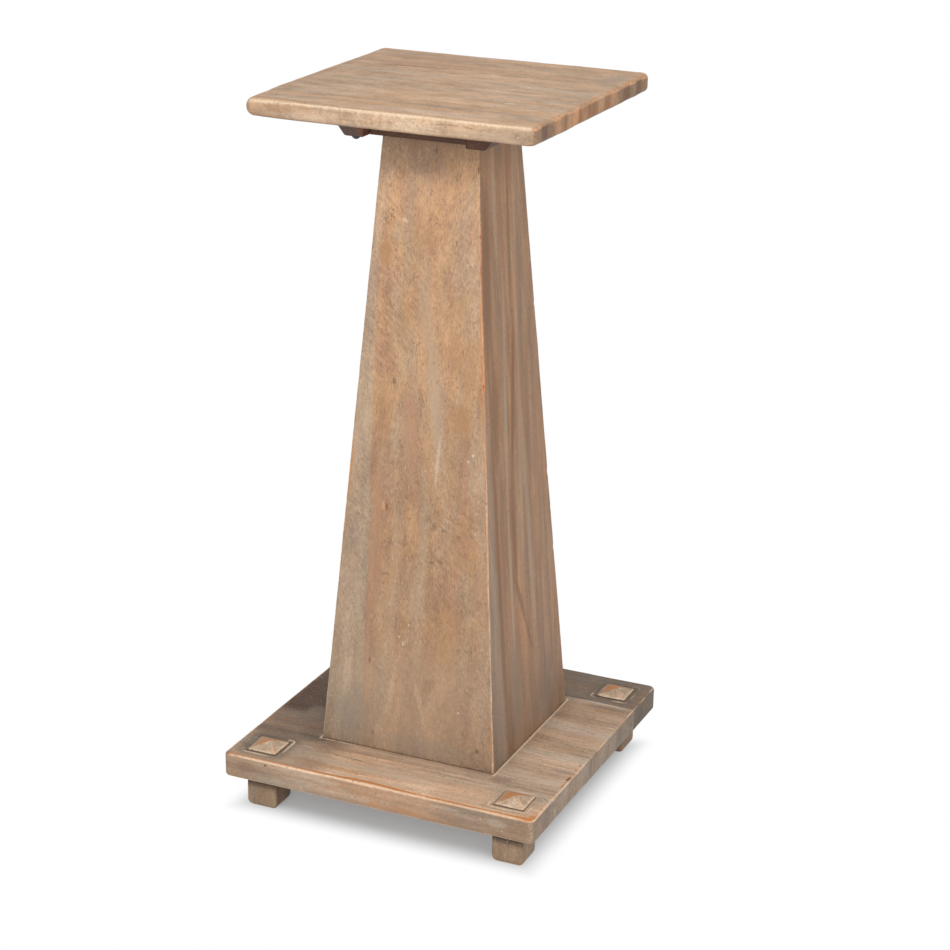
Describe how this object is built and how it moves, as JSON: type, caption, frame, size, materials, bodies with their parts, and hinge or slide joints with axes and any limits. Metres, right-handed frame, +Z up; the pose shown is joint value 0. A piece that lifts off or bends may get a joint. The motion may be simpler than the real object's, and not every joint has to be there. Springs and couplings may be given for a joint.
{
  "type": "wooden pedestal stand",
  "caption": "Square wooden pedestal: a flat top board on a hollow tapered column, standing on a base board with square feet whose pointed posts come up through it.",
  "frame": {"origin": "on the floor under the middle of the base board", "axes": "+Z up along the column, the front of the pedestal looks towards -Y, +X to its right"},
  "size_m": [0.3556, 0.3556, 0.762],
  "materials": {
    "top_wood": "limed and waxed, satin",
    "column_wood": "limed and waxed, satin",
    "base_wood": "limed and waxed, satin",
    "foot_wood": "limed and waxed, satin",
    "cleat_wood": "dark stained, matt",
    "screw_steel": "black, semi-gloss"
  },
  "bodies": {
    "root": {"top_board": "top_wood", "cleat_left": "cleat_wood", "cleat_right": "cleat_wood", "cleat_front": "cleat_wood", "cleat_back": "cleat_wood", "screw_left_front": "screw_steel", "screw_left_back": "screw_steel", "screw_right_front": "screw_steel", "screw_right_back": "screw_steel", "column_front": "column_wood", "column_right": "column_wood", "column_back": "column_wood", "column_left": "column_wood", "base_board": "base_wood", "foot_front_left": "foot_wood", "foot_front_right": "foot_wood", "foot_back_right": "foot_wood", "foot_back_left": "foot_wood"}
  },
  "joints": []
}
